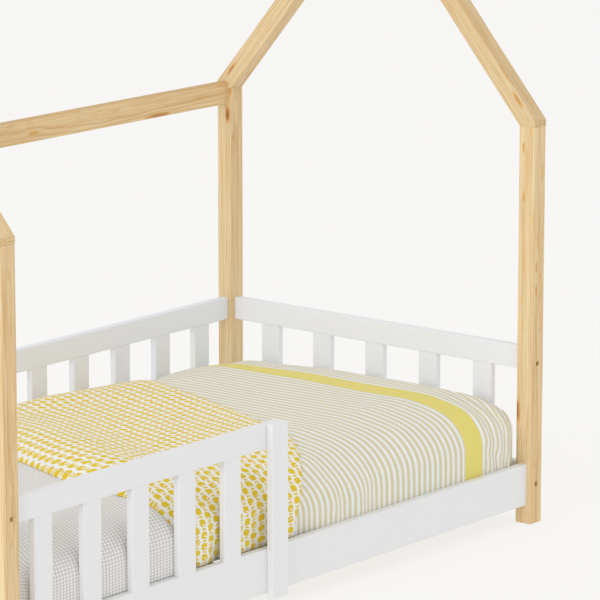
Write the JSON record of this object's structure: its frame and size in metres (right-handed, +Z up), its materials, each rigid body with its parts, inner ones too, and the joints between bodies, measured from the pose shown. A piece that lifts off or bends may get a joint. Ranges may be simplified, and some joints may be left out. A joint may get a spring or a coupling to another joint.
{
  "type": "house frame bed",
  "caption": "Low children's bed with a pine house-shaped frame, white slatted guards with an open entry gap, a slatted base, and a mattress dressed with a sheet, a striped cover and a throw.",
  "frame": {"origin": "middle of the bed's outline on the floor, under the ridge", "axes": "+X along the bed towards its open right end, +Y across it to the back, which has the eave beam and the full guard, +Z up"},
  "size_m": [1.68, 0.874, 1.3841],
  "materials": {
    "pine": "planed pine under clear satin lacquer",
    "white_paint": "pine painted satin white",
    "bare_pine": "planed pine, unfinished",
    "beech": "fluted beech dowel",
    "zinc": "zinc-plated steel",
    "tape_webbing": "woven polyester tape",
    "mattress_ticking": "knitted polyester cover over foam",
    "checked_sheeting": "woven cotton with a fine grey check",
    "striped_cotton": "woven cotton with beige and white stripes and one yellow band",
    "printed_cotton": "cotton with a small yellow print on white"
  },
  "bodies": {
    "frame": {"post_front_left": "pine", "post_front_right": "pine", "post_back_left": "pine", "post_back_right": "pine", "rafter_front_left": "pine", "rafter_front_right": "pine", "rafter_back_left": "pine", "rafter_back_right": "pine", "eave_beam_back": "pine", "ridge_beam": "pine", "side_board_front": "white_paint", "side_board_back": "white_paint", "end_board_left": "white_paint", "end_board_right": "white_paint", "guard_rail_front": "white_paint", "guard_rail_back": "white_paint", "guard_rail_left": "white_paint", "guard_rail_right": "white_paint", "guard_slats_front": "white_paint", "guard_slats_back": "white_paint", "guard_slats_left": "white_paint", "guard_slats_right": "white_paint", "guard_post_front": "white_paint", "ledger_front": "bare_pine", "ledger_back": "bare_pine", "base_slats": "bare_pine", "base_tape_front": "tape_webbing", "base_tape_back": "tape_webbing", "frame_bolts": "zinc", "barrel_nuts": "zinc", "joint_dowels": "beech", "wood_screws": "zinc"},
    "bedding": {"mattress": "mattress_ticking", "fitted_sheet": "checked_sheeting", "striped_coverlet": "striped_cotton", "print_throw": "printed_cotton"}
  },
  "joints": [
    {"name": "mattress_lift", "type": "slide", "parent": "frame", "child": "bedding", "axis": [0, 0, 1], "range_m": [0, 0.3]}
  ]
}
